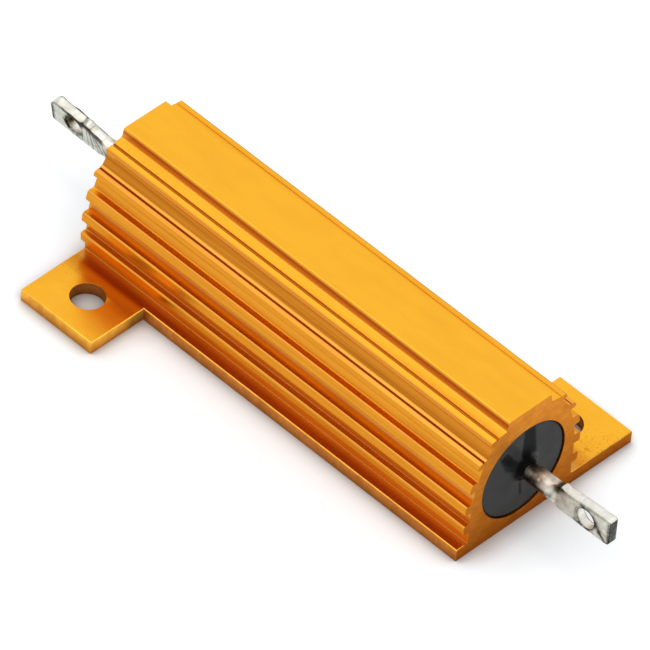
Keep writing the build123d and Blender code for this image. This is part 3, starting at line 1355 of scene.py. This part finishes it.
ceramic = plain_finish(
    "ceramic",
    metallic=0.0,
    roughness=0.7,
    dark=(0.66, 0.62, 0.54),
    light=(0.80, 0.77, 0.70),
    waves=(700.0, 700.0, 700.0),
    depth=0.02 * MM,
)
ribbon = plain_finish(
    "ribbon",
    metallic=1.0,
    roughness=0.4,
    dark=(0.26, 0.24, 0.22),
    light=(0.42, 0.40, 0.38),
    waves=(300.0, 3000.0, 3000.0),
    depth=0.01 * MM,
)
cap_steel = plain_finish(
    "cap_steel",
    metallic=1.0,
    roughness=0.35,
    dark=(0.42, 0.41, 0.40),
    light=(0.60, 0.59, 0.57),
    waves=(2500.0, 500.0, 500.0),
    depth=0.01 * MM,
)
dress("ceramic_core", ceramic)
dress("resistance_winding", ribbon)
dress("cap_front", cap_steel)
dress("cap_back", cap_steel)

# %% [markdown]
# The part lies on a pale floor that has no edge in view. One large flat face is enough for it. The
# floor is stage, not part of the resistor.

# %% Floor
floor_size = 3.0
floor_mesh = bpy.data.meshes.new("floor")
plane = bmesh.new()
bmesh.ops.create_grid(plane, x_segments=1, y_segments=1, size=floor_size / 2)
plane.to_mesh(floor_mesh)
plane.free()
floor = bpy.data.objects.new("floor", floor_mesh)
bpy.context.scene.collection.objects.link(floor)
print("floor is", floor_size, "m wide")

# %% [markdown]
# The background should be white without more light on the part. So the paper on the
# floor is brighter only where the camera sees it, directly or mirrored, and plain for
# the rays that light the part. Close round the part it is darker, as a contact shadow
# is: Ambient Occlusion finds those places.

# %% Paper on the floor
paper_grey = (0.7, 0.7, 0.7)
paper_seen = (1.19, 1.24, 1.27)
contact_reach = 3.0 * MM
contact_shade = ((0.4, (0.36, 0.345, 0.33)), (0.96, white))


def seen_directly(tree):
    """1 for rays from the camera and for reflections and refractions, otherwise 0."""
    path = tree.nodes.new("ShaderNodeLightPath")
    total = path.outputs["Is Camera Ray"]
    for name in ("Is Glossy Ray", "Is Transmission Ray"):
        larger = tree.nodes.new("ShaderNodeMath")
        larger.operation = "MAXIMUM"
        tree.links.new(total, larger.inputs[0])
        tree.links.new(path.outputs[name], larger.inputs[1])
        total = larger.outputs[0]
    return total


paper, tree, shader = new_finish("paper", 0.0, 1.0)
shader.inputs["Specular IOR Level"].default_value = 0.0
contact = tree.nodes.new("ShaderNodeAmbientOcclusion")
contact.samples = 16
contact.inputs["Distance"].default_value = contact_reach
shade = ramp(tree, contact.outputs["AO"], contact_shade)
whiter = mixed(tree, seen_directly(tree), paper_grey, paper_seen)
tree.links.new(mixed(tree, 1.0, whiter, shade, "MULTIPLY"), shader.inputs["Base Color"])
floor_mesh.materials.append(paper)
print("paper:", paper.name)

# %% [markdown]
# The world is white as well. It gives the soft light that comes from all sides, and the
# camera sees it at full strength for the same reason as the paper.

# %% Backdrop
world_strength = 0.75
world = bpy.data.worlds.new("studio")
bpy.context.scene.world = world
world.use_nodes = True
tree = world.node_tree
background = tree.nodes["Background"]
background.inputs["Color"].default_value = (*white, 1.0)
strength = ranged(tree, seen_directly(tree), 0.0, 1.0, world_strength, 1.0)
tree.links.new(strength, background.inputs["Strength"])
print("backdrop:", world.name)

# %% [markdown]
# One large softbox hangs over the part and a little to its near side. A large lamp
# gives soft shadows, as a window does.

# %% Lamp
lamp_place = Vector((0.0, -0.25, 1.0))
lamp_aim = Vector((0.0, 0.0, 0.0))
lamp = bpy.data.lights.new("key", "AREA")
lamp.shape = "SQUARE"
lamp.size = 1.1
lamp.energy = 3.2
key = bpy.data.objects.new("key", lamp)
bpy.context.scene.collection.objects.link(key)
key.location = lamp_place
key.rotation_euler = (lamp_aim - lamp_place).to_track_quat("-Z", "Y").to_euler()
print("lamp hangs", round((lamp_aim - lamp_place).length, 2), "m away")

# %% [markdown]
# The camera looks down on the part from one corner, through a very long lens from far
# away, so that the long edges stay nearly parallel. It is placed by two angles and a
# distance from the point it aims at, and it is rolled a little.

# %% Camera
azimuth = radians(40.89)
elevation = radians(45.41)
camera_roll = radians(5.86)
camera_distance = 1.1702
aim_point = Vector((0.46, -1.14, 7.0)) * MM

camera_data = bpy.data.cameras.new("camera")
camera_data.sensor_width = 36.0
camera_data.lens = 721.0
camera_data.clip_end = 10.0
camera = bpy.data.objects.new("camera", camera_data)
bpy.context.scene.collection.objects.link(camera)
bpy.context.scene.camera = camera
level_reach = cos(elevation)
to_camera = Vector((sin(azimuth) * level_reach, -cos(azimuth) * level_reach, sin(elevation)))
placed = Matrix.Translation(aim_point + to_camera * camera_distance)
turned = (-to_camera).to_track_quat("-Z", "Y").to_matrix().to_4x4()
camera.matrix_world = placed @ turned @ Matrix.Rotation(camera_roll, 4, "Z")
bpy.context.scene.view_settings.view_transform = "Standard"
print("camera at", [round(length, 3) for length in camera.matrix_world.translation])
